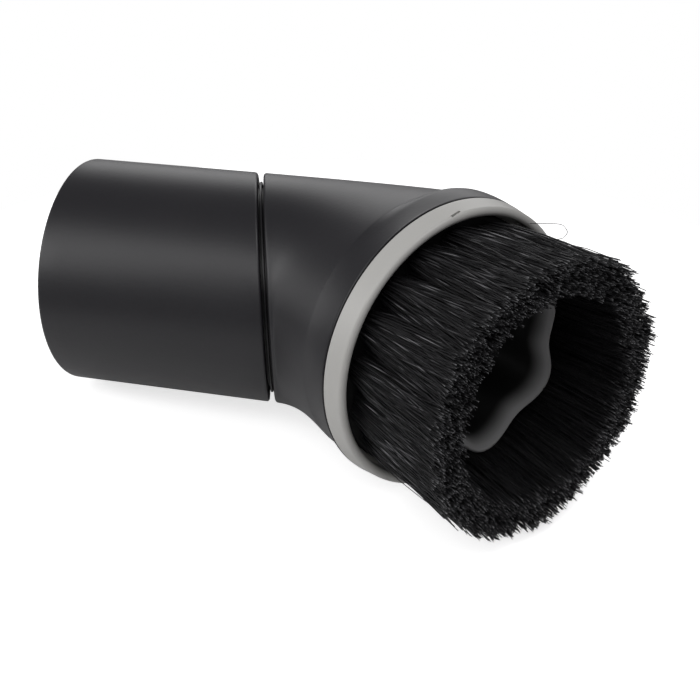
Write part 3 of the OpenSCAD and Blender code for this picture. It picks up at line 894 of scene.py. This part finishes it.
# %% [markdown]
# ## The studio
# The photo was taken on white, in soft light. The floor is a white sheet: it shows as plain white,
# and still carries the soft shadow and the light that it throws back from below. The world glows white
# for the camera only. Nothing on show is metal or glass, and the satin black needs a darker studio round it.
# The floor is set for the brush at rest. Where the head swivels down by a quarter turn, it goes through it.

# %% Floor and world
def lifted_white(tree, shader_socket, lift):
    """Adds a plain glow where the camera looks, so that the sheet is white round its shadow."""
    path = new_node(tree, "ShaderNodeLightPath").outputs
    looks = calc(tree, "MAXIMUM", path["Is Camera Ray"], path["Is Transmission Ray"])
    strength = calc(tree, "MULTIPLY", looks, lift)
    glow = new_node(tree, "ShaderNodeEmission", {"Color": (1, 1, 1, 1), "Strength": strength})
    return new_node(tree, "ShaderNodeAddShader", {0: shader_socket, 1: glow.outputs[0]}).outputs[0]


FLOOR_X, FLOOR_R, FLOOR_TOP = 55, 120, -20.6
SLOPE = (25.4 - SLEEVE_R) / 70
floor_mesh = bpy.data.meshes.new("floor")
rim = [(FLOOR_X + FLOOR_R * math.cos(t), FLOOR_R * math.sin(t)) for t in angles(96)]
floor_verts = [(x * MM, y * MM, (FLOOR_TOP - SLOPE * x) * MM) for x, y in rim]
floor_mesh.from_pydata(floor_verts, [], [tuple(range(len(rim)))])
floor = bpy.data.objects.new("floor", floor_mesh)
bpy.context.scene.collection.objects.link(floor)
paper = bpy.data.materials.new("White floor")
paper.use_nodes = True
shader = paper.node_tree.nodes["Principled BSDF"]
shader.inputs["Base Color"].default_value = (0.86, 0.86, 0.86, 1)
shader.inputs["Roughness"].default_value = 0.9
paper_output = paper.node_tree.nodes["Material Output"]
lifted = lifted_white(paper.node_tree, shader.outputs[0], 0.7)
paper.node_tree.links.new(lifted, paper_output.inputs["Surface"])
floor_mesh.materials.append(paper)

world = bpy.data.worlds.new("Studio")
bpy.context.scene.world = world
world.use_nodes = True
wt = world.node_tree
air = wt.nodes["Background"]
air.inputs["Color"].default_value = (0.98, 0.96, 1.0, 1)
air.inputs["Strength"].default_value = 0.18
plain = new_node(wt, "ShaderNodeBackground", {"Color": (1, 1, 1, 1), "Strength": 1.0})
seen = new_node(wt, "ShaderNodeLightPath").outputs["Is Camera Ray"]
both = new_node(wt, "ShaderNodeMixShader", {0: seen, 1: air.outputs[0], 2: plain.outputs[0]})
wt.links.new(both.outputs[0], wt.nodes["World Output"].inputs["Surface"])

# %% [markdown]
# ## Lights and camera
# The sleeve shows where the lights are: the soft band a third of the way down comes from softboxes high
# in front and to the left, and the pale line along its top from a bright wall behind. The powers were first
# found by rendering each lamp alone and fitting their sum to the tones in the photo. The overhead lamp and
# the world's even light were then set. The camera was worked out from the outline in the photo:
# it stands a little to the right, about thirty degrees up, quite close.

# %% Lights
MIDDLE = np.array([0.05, -0.005, 0.0])


def softbox(name, turn, height, distance, size, power):
    """A soft lamp: turn is its direction in degrees to the right of the front, and height its elevation."""
    light = bpy.data.lights.new(name, "AREA")
    light.shape, light.size, light.size_y, light.energy = "RECTANGLE", size[0], size[1], power
    lamp = bpy.data.objects.new(name, light)
    bpy.context.scene.collection.objects.link(lamp)
    turn, height = math.radians(turn), math.radians(height)
    flat = math.cos(height)
    back = np.array([math.sin(turn) * flat, -math.cos(turn) * flat, math.sin(height)])
    side = np.cross(-back, UP)
    side /= np.linalg.norm(side)
    axes = np.stack([side, np.cross(side, -back), back], axis=1)
    centre = MIDDLE + distance * back
    lamp.matrix_world = Matrix([[*axes[r], centre[r]] for r in range(3)] + [[0, 0, 0, 1]])


softbox("left softbox", -57, 28, 0.75, (0.6, 0.24), 1.55)
softbox("high left softbox", -34, 48, 0.75, (0.4, 0.24), 0.66)
softbox("front softbox", 6, 48, 0.75, (0.3, 0.24), 0.93)
softbox("overhead softbox", 82, 64, 0.75, (0.4, 0.3), 1.6)
softbox("low card", -84, 8, 0.75, (0.6, 0.24), 0.6)
softbox("back wall", 190, 20, 0.8, (0.7, 0.45), 1.42)
print("the soft lamps are up")

# %% Camera
CAMERA_AT = (101.65, -181.86, 101.79)
CAMERA_RIGHT = (0.9658, 0.2585, -0.0224)
CAMERA_UP = (-0.1142, 0.5009, 0.8579)
CAMERA_AHEAD = (-0.233, 0.826, -0.5133)
FOCAL_PIXELS, FRAME_PIXELS, SENSOR = 1200, 700, 36.0
lens = bpy.data.cameras.new("camera")
lens.sensor_width, lens.lens = SENSOR, SENSOR * FOCAL_PIXELS / FRAME_PIXELS
lens.clip_start, lens.clip_end = 0.01, 20
camera = bpy.data.objects.new("camera", lens)
bpy.context.scene.collection.objects.link(camera)
columns = [CAMERA_RIGHT, CAMERA_UP, [-v for v in CAMERA_AHEAD]]
rows = [[columns[c][r] for c in range(3)] + [CAMERA_AT[r] * MM] for r in range(3)]
camera.matrix_world = Matrix(rows + [[0, 0, 0, 1]])
bpy.context.scene.camera = camera
bpy.context.scene.view_settings.view_transform = "Standard"
